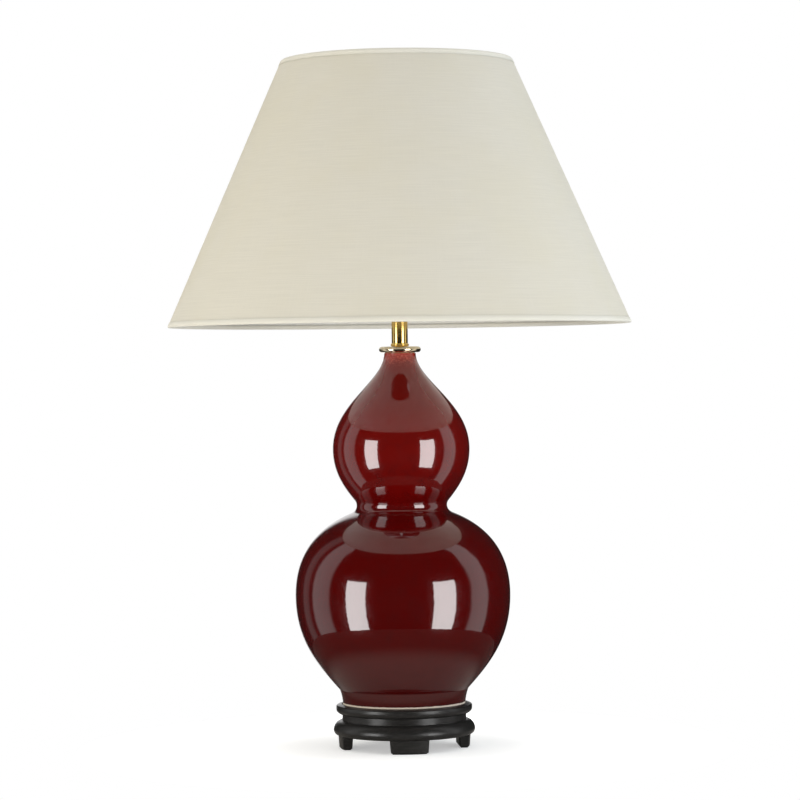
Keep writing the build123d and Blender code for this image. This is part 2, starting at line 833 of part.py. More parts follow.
with BuildPart() as switch_knob:
    with BuildSketch(spindle_plane.offset(knob_hub_start)):
        Circle(spindle_radius + knob_wall)
    extrude(amount=knob_hub_length)
    with BuildSketch(spindle_plane.offset(knob_hub_start + knob_hub_length - knob_key_lap)):
        RectangleRounded(knob_key_width, knob_key_thickness, knob_round)
    extrude(amount=knob_key_length)
    fillet(switch_knob.edges().group_by(Axis.Y)[0], radius=knob_end_round)
    with BuildSketch(spindle_plane.offset(knob_hub_start)):
        Circle(spindle_radius + thread_gap)
    extrude(amount=knob_bore_depth, mode=Mode.SUBTRACT)
switch_knob.part.label = "switch_knob"
export_step(switch_knob.part, "parts/switch_knob.step")

# ------------------------------------------------------------------ bulb

with BuildPart() as bulb_contact:
    with BuildSketch(Plane.XY.offset(bulb_bottom)):
        Circle(bulb_contact_radius)
    extrude(amount=bulb_contact_height)
bulb_contact.part.label = "bulb_contact"
export_step(bulb_contact.part, "parts/bulb_contact.step")

bulb_insulator_radius = bulb_cap_radius - bulb_cap_taper

with BuildPart() as bulb_insulator:
    with BuildSketch(Plane.XZ):
        Polygon(
            (0, bulb_insulator_bottom),
            (bulb_contact_radius + bulb_insulator_step, bulb_insulator_bottom),
            (bulb_insulator_radius, bulb_cap_bottom),
            (0, bulb_cap_bottom),
            align=None,
        )
    revolve(axis=Axis.Z)
bulb_insulator.part.label = "bulb_insulator"
export_step(bulb_insulator.part, "parts/bulb_insulator.step")

with BuildPart() as bulb_cap:
    with BuildSketch(Plane.XZ):
        cap_inner = bulb_cap_radius - bulb_cap_wall
        cap_shoulder = bulb_cap_bottom + bulb_cap_taper_height
        inner_foot = bulb_insulator_radius - bulb_cap_wall
        Polygon(
            (0, bulb_cap_bottom),
            (bulb_insulator_radius, bulb_cap_bottom),
            (bulb_cap_radius, cap_shoulder),
            (bulb_cap_radius, bulb_cap_top),
            (cap_inner, bulb_cap_top),
            (cap_inner, cap_shoulder + bulb_cap_wall),
            (inner_foot, bulb_cap_bottom + 2 * bulb_cap_wall),
            (0, bulb_cap_bottom + 2 * bulb_cap_wall),
            align=None,
        )
    revolve(axis=Axis.Z)
bulb_cap.part.label = "bulb_cap"
export_step(bulb_cap.part, "parts/bulb_cap.step")


def bulb_side(inset):
    """Half the bulb's section: an upright neck, a flare tangent to it, and the globe."""
    neck = bulb_cap_radius - bulb_cap_wall - bulb_neck_play - inset
    globe = bulb_radius - inset
    neck_low = bulb_cap_top - bulb_neck_tuck
    neck_high = bulb_cap_top + bulb_neck_height
    drop = bulb_center - neck_high
    # The flare's arc touches the neck's line and the globe's circle.
    flare = (neck**2 + drop**2 - globe**2) / (2 * (globe - neck))
    reach = globe / (globe + flare)
    meet = ((neck + flare) * reach, bulb_center - drop * reach)
    TangentArc((neck, neck_high), meet, tangent=(0, 1))
    ThreePointArc(meet, (globe, bulb_center), (0, bulb_center + globe))
    Line((neck, neck_high), (neck, neck_low))
    return (neck, neck_low), (0, bulb_center + globe)


with BuildPart() as bulb_glass:
    with BuildSketch(Plane.XZ):
        with BuildLine():
            outer_end, outer_pole = bulb_side(0)
            inner_end, inner_pole = bulb_side(bulb_wall)
            Line(outer_end, inner_end)
            Line(outer_pole, inner_pole)
        make_face()
    revolve(axis=Axis.Z)
bulb_glass.part.label = "bulb_glass"
export_step(bulb_glass.part, "parts/bulb_glass.step")

# ------------------------------------------------------------------ harp

with BuildPart() as harp_bow:
    with BuildLine(Plane.XZ) as harp_path:
        leg_top = saddle_top + harp_leg_height
        wide = saddle_top + harp_wide_height
        FilletPolyline(
            (leg_center, leg_bottom),
            (leg_center, leg_top),
            (harp_half_width, wide),
            (harp_top_half, harp_top),
            (-harp_top_half, harp_top),
            (-harp_half_width, wide),
            (-leg_center, leg_top),
            (-leg_center, leg_bottom),
            radius=(
                harp_foot_bend,
                harp_side_bend,
                harp_top_bend,
                harp_top_bend,
                harp_side_bend,
                harp_foot_bend,
            ),
        )
    with BuildSketch(Plane(origin=(leg_center, 0, leg_bottom), z_dir=(0, 0, 1))):
        Circle(harp_radius)
    sweep(path=harp_path.wire())
    with BuildSketch(Plane.XY.offset(harp_top - harp_radius)):
        Circle(harp_pad_radius)
    extrude(amount=harp_wire)
    with Locations((0, 0, harp_top + harp_radius)):
        Hole(stud_stem_radius + running_gap)
harp_bow.part.label = "harp_bow"
export_step(harp_bow.part, "parts/harp_bow.step")

ferrule_bore_left = leg_center - harp_radius - slide_gap
ferrule_bore_right = ear_outer + slide_gap
ferrule_middle = (ferrule_bore_left + ferrule_bore_right) / 2
ferrule_bore_width = ferrule_bore_right - ferrule_bore_left
ferrule_bore_depth = saddle_width + 2 * slide_gap

for side, name in ((-1, "left"), (1, "right")):
    with BuildPart() as harp_ferrule:
        with BuildSketch(Plane.XY.offset(saddle_top + slide_gap)):
            with Locations((side * ferrule_middle, 0)):
                RectangleRounded(
                    ferrule_bore_width + 2 * ferrule_wall,
                    ferrule_bore_depth + 2 * ferrule_wall,
                    ferrule_round,
                )
                Rectangle(ferrule_bore_width, ferrule_bore_depth, mode=Mode.SUBTRACT)
        extrude(amount=ear_height - saddle_thickness - ferrule_setback)
    harp_ferrule.part.label = f"harp_ferrule_{name}"
    export_step(harp_ferrule.part, f"parts/harp_ferrule_{name}.step")

with BuildPart() as harp_stud:
    with BuildSketch(Plane.XZ):
        head_top = harp_top - harp_radius - stud_play
        stud_head_radius = stud_stem_radius + stud_head_step
        Polygon(
            (0, head_top - stud_head_height),
            (stud_head_radius, head_top - stud_head_height),
            (stud_head_radius, head_top),
            (stud_stem_radius, head_top),
            (stud_stem_radius, stud_shoulder_bottom),
            (stud_shoulder_radius, stud_shoulder_bottom),
            (stud_shoulder_radius, stud_shoulder_top),
            (stud_post_radius, stud_shoulder_top),
            (stud_post_radius, stud_top),
            (0, stud_top),
            align=None,
        )
    revolve(axis=Axis.Z)
harp_stud.part.label = "harp_stud"
export_step(harp_stud.part, "parts/harp_stud.step")

# ------------------------------------------------------------------ shade

# A pressed hem at each rim holds the edges of the fabric and the lining, and a wire ring.
fabric_depth = trim_width + layer_gap
lining_depth = fabric_depth + fabric_thickness / cos(shade_lean) + layer_gap
lining_inner_depth = lining_depth + lining_thickness / cos(shade_lean)
ring_depth = lining_inner_depth + layer_gap + ring_width / 2


def cone_layer(depth, thickness):
    """Section of one layer of the shade, from hem to hem."""
    low = shade_bottom + rim_round
    high = shade_top - rim_round
    inner = depth + thickness / cos(shade_lean)
    Polygon(
        shade_point(depth, low),
        shade_point(depth, high),
        shade_point(inner, high),
        shade_point(inner, low),
        align=None,
    )


def hem_outline(edge, up, inset, outer_leg, inner_leg, mode):
    """Outline of a pressed hem: a flat edge between two creases, and a leg on each side."""
    crease = rim_crease + inset * tan(radians(22.5))
    Polygon(
        shade_point(inset, edge + up * (rim_round + outer_leg)),
        shade_point(inset, edge + up * crease),
        shade_point(crease, edge + up * inset),
        shade_point(rim_width - crease, edge + up * inset),
        shade_point(rim_width - inset, edge + up * crease),
        shade_point(rim_width - inset, edge + up * (rim_round + inner_leg)),
        align=None,
        mode=mode,
    )


with BuildPart() as shade_fabric:
    with BuildSketch(Plane.XZ):
        cone_layer(fabric_depth, fabric_thickness)
    revolve(axis=Axis.Z)
shade_fabric.part.label = "shade_fabric"
export_step(shade_fabric.part, "parts/shade_fabric.step")

with BuildPart() as shade_lining:
    with BuildSketch(Plane.XZ):
        cone_layer(lining_depth, lining_thickness)
    revolve(axis=Axis.Z)
shade_lining.part.label = "shade_lining"
export_step(shade_lining.part, "parts/shade_lining.step")

rims = (
    ("shade_bottom_hem", shade_bottom, 1, bottom_trim_tuck),
    ("shade_top_hem", shade_top, -1, top_trim_tuck),
)
for name, edge, up, tuck in rims:
    with BuildPart() as shade_hem:
        with BuildSketch(Plane.XZ):
            hem_outline(edge, up, 0, trim_lap, tuck, Mode.ADD)
            hem_outline(edge, up, trim_width, trim_lap + rim_width, tuck + rim_width, Mode.SUBTRACT)
        revolve(axis=Axis.Z)
    shade_hem.part.label = name
    export_step(shade_hem.part, f"parts/{name}.step")

bottom_ring_level = shade_bottom + rim_round
top_ring_level = shade_top - rim_round
bottom_ring_major = shade_radius(bottom_ring_level) - ring_depth
top_ring_major = shade_radius(top_ring_level) - ring_depth

with BuildPart() as shade_bottom_ring:
    with BuildSketch(Plane.XZ):
        with Locations((bottom_ring_major, bottom_ring_level)):
            Circle(ring_radius)
    revolve(axis=Axis.Z)
shade_bottom_ring.part.label = "shade_bottom_ring"
export_step(shade_bottom_ring.part, "parts/shade_bottom_ring.step")

with BuildPart() as shade_spider:
    with BuildSketch(Plane.XY.offset(hub_bottom)):
        Circle(spider_hub_radius)
    extrude(amount=spider_hub_thickness)
    arm_radius = spider_arm_wire / 2
    arm_start = spider_hub_radius - arm_radius
    for number in range(spider_arm_count):
        arm_angle = 90 + 360 / spider_arm_count * number
        arm_plane = Plane(
            origin=(0, 0, 0),
            x_dir=(cos(radians(arm_angle)), sin(radians(arm_angle)), 0),
            z_dir=(sin(radians(arm_angle)), -cos(radians(arm_angle)), 0),
        )
        with BuildLine(arm_plane) as arm_path:
            FilletPolyline(
                (arm_start, hub_middle),
                (top_ring_major, hub_middle + spider_arm_rise),
                (top_ring_major, top_ring_level - spider_weld),
                radius=spider_bend,
            )
        with BuildSketch(Plane(origin=arm_path.wire() @ 0, z_dir=arm_path.wire() % 0)):
            Circle(arm_radius)
        sweep(path=arm_path.wire())
    with BuildSketch(Plane.XZ):
        with Locations((top_ring_major, top_ring_level)):
            Circle(ring_radius)
    revolve(axis=Axis.Z)
    with Locations((0, 0, hub_top)):
        Hole(stud_post_radius + slide_gap)
shade_spider.part.label = "shade_spider"
export_step(shade_spider.part, "parts/shade_spider.step")

# ------------------------------------------------------------------ finial

with BuildPart() as finial:
    with BuildSketch(Plane.XZ):
        with BuildLine():
            # The ball's centre is level with the end of the stud's post.
            finial_bore = stud_post_radius + running_gap
            finial_neck = finial_bore + finial_wall
            base_top = finial_bottom + finial_base
            ball_start = stud_top - sqrt(finial_ball_radius**2 - finial_neck**2)
            Polyline(
                (0, stud_top + finial_ball_radius),
                (0, finial_bottom),
                (finial_base_radius, finial_bottom),
                (finial_base_radius, base_top),
                (finial_neck, base_top),
                (finial_neck, ball_start),
            )
            ThreePointArc(
                (finial_neck, ball_start),
                (finial_ball_radius, stud_top),
                (0, stud_top + finial_ball_radius),
            )
        make_face()
    revolve(axis=Axis.Z)
    with BuildSketch(Plane.XY.offset(finial_bottom)):
        Circle(finial_bore)
    extrude(amount=stud_top + slide_gap - finial_bottom, mode=Mode.SUBTRACT)
finial.part.label = "finial"
export_step(finial.part, "parts/finial.step")
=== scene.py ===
import math
from functools import reduce

import bmesh
import bpy
from mathutils import Matrix, Vector, noise

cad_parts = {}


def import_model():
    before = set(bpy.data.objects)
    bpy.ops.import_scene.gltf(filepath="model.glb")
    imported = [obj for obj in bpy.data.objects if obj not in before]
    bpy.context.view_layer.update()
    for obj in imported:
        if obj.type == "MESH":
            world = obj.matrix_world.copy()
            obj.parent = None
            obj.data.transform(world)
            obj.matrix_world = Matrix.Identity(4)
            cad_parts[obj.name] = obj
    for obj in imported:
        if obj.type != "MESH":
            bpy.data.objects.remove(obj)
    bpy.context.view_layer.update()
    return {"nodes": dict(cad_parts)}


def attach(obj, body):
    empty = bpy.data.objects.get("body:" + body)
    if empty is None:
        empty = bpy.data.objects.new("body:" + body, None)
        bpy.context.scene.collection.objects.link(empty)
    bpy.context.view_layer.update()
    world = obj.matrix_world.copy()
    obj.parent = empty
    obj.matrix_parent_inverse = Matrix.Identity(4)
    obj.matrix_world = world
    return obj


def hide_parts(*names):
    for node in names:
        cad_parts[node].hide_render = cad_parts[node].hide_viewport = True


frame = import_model()
nodes = frame["nodes"]
MM = 0.001


# ---------------------------------------------------------------- node helpers

class Nodes:
    """Adds and joins shader nodes. Patterns are laid out in metres."""

    def __init__(self, tree):
        self.tree = tree
        tree.nodes.clear()

    def node(self, kind, **settings):
        made = self.tree.nodes.new("ShaderNode" + kind)
        for key, value in settings.items():
            setattr(made, key, value)
        return made

    def feed(self, socket, value):
        """Links another node's output to a socket, or sets a number or colour on it."""
        if isinstance(value, bpy.types.NodeSocket):
            self.tree.links.new(value, socket)
        elif isinstance(value, tuple) and len(value) == 3 and socket.type == "RGBA":
            socket.default_value = (*value, 1)
        else:
            socket.default_value = value

    def math(self, operation, *values, clamp=False):
        made = self.node("Math", operation=operation, use_clamp=clamp)
        for socket, value in zip(made.inputs, values):
            self.feed(socket, value)
        return made.outputs[0]

    def plus(self, first, second, clamp=False):
        return self.math("ADD", first, second, clamp=clamp)

    def times(self, first, second):
        return self.math("MULTIPLY", first, second)

    def larger(self, first, second):
        return self.math("MAXIMUM", first, second)

    def centred(self, pattern):
        """A pattern from 0 to 1, moved to run from -0.5 to 0.5."""
        return self.math("SUBTRACT", pattern, 0.5)

    def step(self, value, low, high, start=0.0, end=1.0):
        """Goes smoothly from start at low to end at high."""
        made = self.node("MapRange", interpolation_type="SMOOTHSTEP")
        for socket, number in zip(made.inputs, (value, low, high, start, end)):
            self.feed(socket, number)
        return made.outputs[0]

    def window(self, value, low, high, soft):
        """1 between low and high, and 0 outside them."""
        rise = self.step(value, low - soft, low + soft)
        fall = self.step(value, high - soft, high + soft, start=1.0, end=0.0)
        return self.times(rise, fall)

    def ramp(self, value, *stops):
        made = self.node("ValToRGB")
        while len(made.color_ramp.elements) < len(stops):
            made.color_ramp.elements.new(0.5)
        for element, (at, color) in zip(made.color_ramp.elements, stops):
            element.position = at
            element.color = (*color, 1)
        self.feed(made.inputs[0], value)
        return made.outputs[0]

    def mix(self, share, first, second):
        """A colour: the first where share is 0, the second where it is 1."""
        made = self.node("Mix", data_type="RGBA")
        self.feed(made.inputs[0], share)
        self.feed(made.inputs[6], first)
        self.feed(made.inputs[7], second)
        return made.outputs[2]

    def choose(self, share, first, second):
        """A number: the first where share is 0, the second where it is 1."""
        made = self.node("Mix", data_type="FLOAT")
        self.feed(made.inputs[0], share)
        self.feed(made.inputs[2], first)
        self.feed(made.inputs[3], second)
        return made.outputs[0]

    def scaled(self, vector, x, y, z):
        made = self.node("VectorMath", operation="MULTIPLY")
        self.feed(made.inputs[0], vector)
        made.inputs[1].default_value = (x, y, z)
        return made.outputs[0]

    def noise(self, vector, scale, detail=2.0, rough=0.5, bend=0.0):
        made = self.node("TexNoise")
        self.feed(made.inputs["Vector"], vector)
        made.inputs["Scale"].default_value = scale
        made.inputs["Detail"].default_value = detail
        made.inputs["Roughness"].default_value = rough
        made.inputs["Distortion"].default_value = bend
        return made.outputs["Fac"]

    def cells(self, vector, scale):
        made = self.node("TexVoronoi")
        self.feed(made.inputs["Vector"], vector)
        made.inputs["Scale"].default_value = scale
        return made.outputs["Distance"]


class Finish(Nodes):
    """A material on one Principled shader."""

    def __init__(self, name, color, sockets):
        self.mat = bpy.data.materials.new(name)
        self.mat.use_nodes = True
        super().__init__(self.mat.node_tree)
        self.out = self.node("OutputMaterial")
        self.skin = self.node("BsdfPrincipled")
        self.tree.links.new(self.skin.outputs[0], self.out.inputs[0])
        coords = self.node("TexCoord")
        self.place = coords.outputs["Object"]
        self.uv = coords.outputs["UV"]
        split = self.node("SeparateXYZ")
        self.feed(split.inputs[0], self.place)
        self.x, self.y, self.z = split.outputs
        self.normal = None
        self.set("Base Color", color)
        for key, value in sockets.items():
            self.set(key, value)

    def set(self, name, value):
        self.feed(self.skin.inputs[name], value)

    def bump(self, height, distance):
        """Adds one layer of relief: distance is its depth in metres."""
        made = self.node("Bump")
        made.inputs["Strength"].default_value = 1.0
        made.inputs["Distance"].default_value = distance
        self.feed(made.inputs["Height"], height)
        if self.normal is not None:
            self.tree.links.new(self.normal, made.inputs["Normal"])
        self.normal = made.outputs[0]
        self.tree.links.new(self.normal, self.skin.inputs["Normal"])

    def turn(self):
        """Angle about the axis, in radians."""
        return self.math("ARCTAN2", self.y, self.x)

    def reach(self):
        """Distance from the axis, in metres."""
        return self.math("SQRT", self.plus(self.times(self.x, self.x), self.times(self.y, self.y)))

    def glow_through(self, color, share):
        """Lets part of the light through a thin cloth, film or glass."""
        thin = self.node("BsdfTranslucent")
        self.feed(thin.inputs["Color"], color)
        if self.normal is not None:
            self.tree.links.new(self.normal, thin.inputs["Normal"])
        mixed = self.node("MixShader")
        mixed.inputs[0].default_value = share
        self.tree.links.new(self.skin.outputs[0], mixed.inputs[1])
        self.tree.links.new(thin.outputs[0], mixed.inputs[2])
        self.tree.links.new(mixed.outputs[0], self.out.inputs[0])


# ------------------------------------------------------------------- materials

# Heights are in metres above the table.
GLAZE_FOOT, GLAZE_HEIGHT = 0.045, 0.40
BARE_CLAY_ENDS = (0.0508, 0.0516)
DARK_POOLS_END = (0.30, 0.37)
PALE_NECK_STARTS = (0.414, 0.438)
GLAZE_COLORS = (  # share of the glaze's height, colour
    (0.0, (0.050, 0.0012, 0.001)),
    (0.30, (0.062, 0.0004, 0.0003)),
    (0.52, (0.075, 0.0005, 0.0004)),
    (0.60, (0.108, 0.0010, 0.0006)),
    (0.80, (0.138, 0.0022, 0.001)),
    (0.945, (0.135, 0.005, 0.002)),
    (0.978, (0.32, 0.022, 0.010)),
    (1.0, (0.44, 0.040, 0.020)),
)


def glaze():
    """Oxblood glaze: darker pools low down, a pale freckled neck, bare clay at the foot."""
    m = Finish("oxblood_glaze", (0.08, 0.0, 0.0), {
        "Specular IOR Level": 0.12, "IOR": 1.5,
        "Coat Weight": 1.0, "Coat Roughness": 0.022, "Coat IOR": 1.75})
    drift = m.noise(m.scaled(m.place, 1, 1, 0.55), scale=26, detail=4, rough=0.6, bend=0.6)
    level = m.plus(m.z, m.times(m.centred(drift), 0.02))
    share = m.math("DIVIDE", m.math("SUBTRACT", level, GLAZE_FOOT), GLAZE_HEIGHT, clamp=True)
    deep = m.ramp(share, *GLAZE_COLORS)
    pool = m.noise(m.place, scale=70, detail=5, rough=0.65, bend=0.4)
    low_down = m.step(m.z, *DARK_POOLS_END, start=1.0, end=0.15)
    dark = m.times(m.step(pool, 0.42, 0.72, end=0.30), low_down)
    color = m.mix(dark, deep, (0.035, 0.0005, 0.0008))
    freckle = m.step(m.noise(m.place, scale=620, detail=3, rough=0.6), 0.46, 0.66)
    freckle = m.times(m.times(freckle, m.step(level, *PALE_NECK_STARTS)), 0.65)
    color = m.mix(freckle, color, (0.62, 0.11, 0.07))
    speck = m.step(m.cells(m.place, scale=900), 0.05, 0.12, start=1.0, end=0.0)
    color = m.mix(m.times(speck, 0.35), color, (0.02, 0.0, 0.0))
    edge = m.plus(m.z, m.times(m.noise(m.place, scale=160, detail=3), 0.0012))
    biscuit = m.mix(m.noise(m.place, scale=900, detail=4), (0.50, 0.42, 0.34), (0.72, 0.66, 0.58))
    color = m.mix(m.step(edge, *BARE_CLAY_ENDS, start=1.0, end=0.0), color, biscuit)
    m.set("Base Color", color)
    bare = m.step(edge, *BARE_CLAY_ENDS, start=0.75, end=0.0)
    m.set("Roughness", m.plus(m.step(pool, 0.3, 0.8, start=0.16, end=0.28), bare, clamp=True))
    m.set("Coat Weight", m.step(edge, *BARE_CLAY_ENDS))
    m.bump(m.noise(m.place, scale=24, detail=2, rough=0.4), 0.0007)
    m.bump(m.noise(m.place, scale=150, detail=4, rough=0.55), 0.00028)
    m.bump(m.noise(m.place, scale=900, detail=2, rough=0.5), 0.000012)
    return m


WORN_EDGES = (  # from, to, softness: the lip's top, the bun's lower edge, the bottom of the feet
    (0.0468, 0.0487, 0.0004),
    (0.0148, 0.0162, 0.0004),
    (0.0015, 0.0024, 0.0003),
)


def lacquer():
    """Black lacquer on turned wood, rubbed through to brown in spots along its edges."""
    m = Finish("black_lacquer", (0.014, 0.012, 0.011), {
        "Specular IOR Level": 0.2,
        "Coat Weight": 0.7, "Coat Roughness": 0.3, "Coat IOR": 1.5})
    grain = m.noise(m.scaled(m.place, 6, 90, 90), scale=9, detail=6, rough=0.6, bend=0.3)
    cloud = m.noise(m.place, scale=42, detail=4, rough=0.6)
    color = m.mix(m.step(grain, 0.4, 0.75), (0.011, 0.0105, 0.010), (0.027, 0.025, 0.024))
    edges = reduce(m.plus, (m.window(m.z, *edge) for edge in WORN_EDGES))
    rub = m.times(edges, m.step(m.noise(m.place, scale=190, detail=5, rough=0.7), 0.60, 0.72))
    m.set("Base Color", m.mix(rub, color, (0.085, 0.042, 0.022)))
    m.set("Roughness", m.step(cloud, 0.3, 0.75, start=0.30, end=0.48))
    m.bump(grain, 0.00006)
    m.bump(m.step(m.cells(m.place, scale=210), 0.05, 0.2), 0.0003)
    m.bump(m.noise(m.place, scale=60, detail=3, rough=0.5), 0.0003)
    return m


def metal(name, color, tarnish, rough, coat=0.0, lathe=True, smudge=0.12):
    """Plated or plain metal with tarnish and smudges, and fine turning marks if lathe is set."""
    m = Finish(name, color, {"Metallic": 1.0, "Coat Weight": coat, "Coat Roughness": 0.1})
    film = m.noise(m.place, scale=95, detail=5, rough=0.6, bend=0.5)
    m.set("Base Color", m.mix(m.step(film, 0.45, 0.75, end=0.6), color, tarnish))
    fine = m.noise(m.place, scale=480, detail=4, rough=0.7)
    m.set("Roughness", m.plus(rough, m.times(m.step(fine, 0.35, 0.8), smudge)))
    if lathe:
        rings = m.node("CombineXYZ")
        m.feed(rings.inputs[0], m.reach())
        m.feed(rings.inputs[2], m.z)
        m.bump(m.noise(rings.outputs[0], scale=2600, detail=3, rough=0.6), 0.000008)
    m.bump(m.noise(m.place, scale=60, detail=2, rough=0.5), 0.00012)
    return m


def threads(m, pitch, depth):
    """Relief of a screw thread about the axis."""
    helix = m.plus(m.times(m.z, 2 * math.pi / pitch), m.turn())
    m.bump(m.math("SINE", helix), depth)
    return m


def felt(name, color, fleck):
    m = Finish(name, color, {"Roughness": 0.95, "Sheen Weight": 0.6, "Sheen Roughness": 0.5})
    fibre = m.noise(m.scaled(m.place, 1, 2.2, 1), scale=1400, detail=5, rough=0.7, bend=1.2)
    m.set("Base Color", m.mix(m.step(fibre, 0.4, 0.7), color, fleck))
    m.bump(fibre, 0.00035)
    m.bump(m.noise(m.place, scale=240, detail=3), 0.0002)
    return m


def plastic(name, color, rough, relief):
    m = Finish(name, color, {"Coat Weight": 0.2, "Coat Roughness": 0.25})
    cloud = m.noise(m.place, scale=120, detail=4, rough=0.6)
    light = tuple(min(1, c * 1.7 + 0.004) for c in color)
    m.set("Base Color", m.mix(m.step(cloud, 0.4, 0.7), color, light))
    fine = m.noise(m.place, scale=700, detail=3)
    m.set("Roughness", m.step(fine, 0.3, 0.8, start=rough, end=rough + 0.15))
    m.bump(m.noise(m.place, scale=1600, detail=3, rough=0.6), relief)
    return m


def cork():
    m = Finish("pressed_cork", (0.45, 0.30, 0.17), {"Roughness": 0.85})
    grains = m.cells(m.place, scale=700)
    color = m.ramp(m.noise(m.place, scale=520, detail=3), (0.35, (0.20, 0.11, 0.05)),
                   (0.55, (0.45, 0.30, 0.17)), (0.7, (0.60, 0.43, 0.26)))
    m.set("Base Color", m.mix(m.step(grains, 0.3, 0.6, end=0.6), color, (0.16, 0.09, 0.04)))
    m.bump(grains, 0.0002)
    return m


def card():
    m = Finish("pressed_card", (0.55, 0.42, 0.28), {"Roughness": 0.9})
    fibre = m.noise(m.scaled(m.place, 1, 1, 4), scale=900, detail=5, rough=0.7)
    m.set("Base Color", m.mix(fibre, (0.42, 0.30, 0.18), (0.66, 0.53, 0.37)))
    m.bump(fibre, 0.00008)
    return m


def spangle(name, color, rough):
    """Zinc or tin with the patches of its crystals."""
    m = Finish(name, color, {"Metallic": 1.0})
    patch = m.cells(m.place, scale=420)
    dull = tuple(c * 0.72 for c in color)
    m.set("Base Color", m.mix(m.step(patch, 0.1, 0.8), color, dull))
    cloud = m.noise(m.place, scale=300, detail=4)
    m.set("Roughness", m.step(cloud, 0.3, 0.7, start=rough, end=rough + 0.2))
    m.bump(m.noise(m.place, scale=1400, detail=3), 0.00002)
    return m


WEAVE_PITCH, WEAVE_DEPTH = 0.0009, 0.00006
SLUB_ALONG, SLUB_ACROSS = 18, 900


def weave(m):
    """Height of a plain weave over the cloth's own flat plan, and its slubs."""
    split = m.node("SeparateXYZ")
    m.feed(split.inputs[0], m.uv)
    across, along = split.outputs[0], split.outputs[1]
    wander = m.times(m.centred(m.noise(m.uv, scale=90, detail=2)), 0.0016)
    rate = 2 * math.pi / WEAVE_PITCH
    over = m.math("SINE", m.times(m.plus(across, wander), rate))
    under = m.math("SINE", m.times(m.plus(along, wander), rate))
    knit = m.times(over, under)
    weft = m.noise(m.scaled(m.uv, SLUB_ALONG, SLUB_ACROSS, 1), scale=1.0, detail=3, rough=0.6)
    warp = m.noise(m.scaled(m.uv, SLUB_ACROSS, SLUB_ALONG, 1), scale=1.0, detail=3, rough=0.6)
    m.bump(knit, WEAVE_DEPTH)
    m.bump(m.plus(weft, warp), WEAVE_DEPTH * 0.5)
    return knit, weft, warp


def cloth(name, color, through):
    """Plain woven cloth. through is the share of the light that it lets pass."""
    m = Finish(name, color, {"Roughness": 0.86, "Sheen Weight": 0.12, "Sheen Roughness": 0.45})
    knit, weft, warp = weave(m)
    # shade is a darker tone of the cloth. It serves the darker slubs and also the painted shade in
    # the weave's valleys.
    shade = tuple(c * 0.965 for c in color)
    light = tuple(min(1.0, c * 1.015) for c in color)
    aged = (color[0] * 0.97, color[1] * 0.95, color[2] * 0.86)
    base = m.mix(m.step(weft, 0.35, 0.68), shade, light)
    base = m.mix(m.step(warp, 0.40, 0.75, end=0.5), base, light)
    # Painted shade: where the weave's height is low, the colour goes a little towards the darker
    # tone, as if shadow lay between the threads.
    base = m.mix(m.step(knit, -1, 1, start=0.10, end=0.0), base, shade)
    age = m.step(m.noise(m.place, scale=9, detail=4, rough=0.6), 0.35, 0.75, end=0.35)
    base = m.mix(age, base, aged)
    m.set("Base Color", base)
    m.glow_through(base, through)
    return m


def film():
    """The white film that backs the cloth."""
    m = Finish("white_backing", (0.92, 0.91, 0.88), {"Roughness": 0.5})
    cloud = m.noise(m.place, scale=30, detail=4, rough=0.6)
    base = m.mix(cloud, (0.89, 0.875, 0.835), (0.95, 0.94, 0.92))
    m.set("Base Color", base)
    fine = m.noise(m.place, scale=500, detail=3)
    m.set("Roughness", m.step(fine, 0.3, 0.7, start=0.42, end=0.6))
    m.bump(m.noise(m.place, scale=900, detail=3), 0.00003)
    m.glow_through(base, 0.2)
    return m


def coated_wire():
    """White coated wire with a few chips."""
    white = (0.80, 0.79, 0.76)
    m = Finish("white_wire", white, {"Coat Weight": 0.3, "Coat Roughness": 0.2})
    chips = m.step(m.noise(m.place, scale=420, detail=5, rough=0.7), 0.70, 0.74)
    m.set("Base Color", m.mix(chips, white, (0.42, 0.40, 0.37)))
    cloud = m.noise(m.place, scale=200, detail=3)
    m.set("Roughness", m.step(cloud, 0.3, 0.7, start=0.3, end=0.5))
    m.bump(m.noise(m.place, scale=700, detail=3), 0.00004)
    return m


def bulb_glass():
    """Glass with a white powder coat inside."""
    m = Finish("coated_glass", (0.90, 0.89, 0.86), {"Coat Weight": 0.8, "Coat Roughness": 0.04})
    powder = m.noise(m.place, scale=60, detail=4, rough=0.6)
    base = m.mix(powder, (0.86, 0.85, 0.81), (0.93, 0.93, 0.91))
    m.set("Base Color", base)
    m.set("Roughness", m.step(powder, 0.3, 0.7, start=0.3, end=0.42))
    m.bump(m.noise(m.place, scale=45, detail=2), 0.0001)
    m.glow_through(base, 0.45)
    return m


RAW_BRASS = (0.72, 0.53, 0.22)
ROD_THREAD = {"pitch": 0.00094, "depth": 0.0003}
CAP_THREAD = {"pitch": 0.003629, "depth": 0.0009}

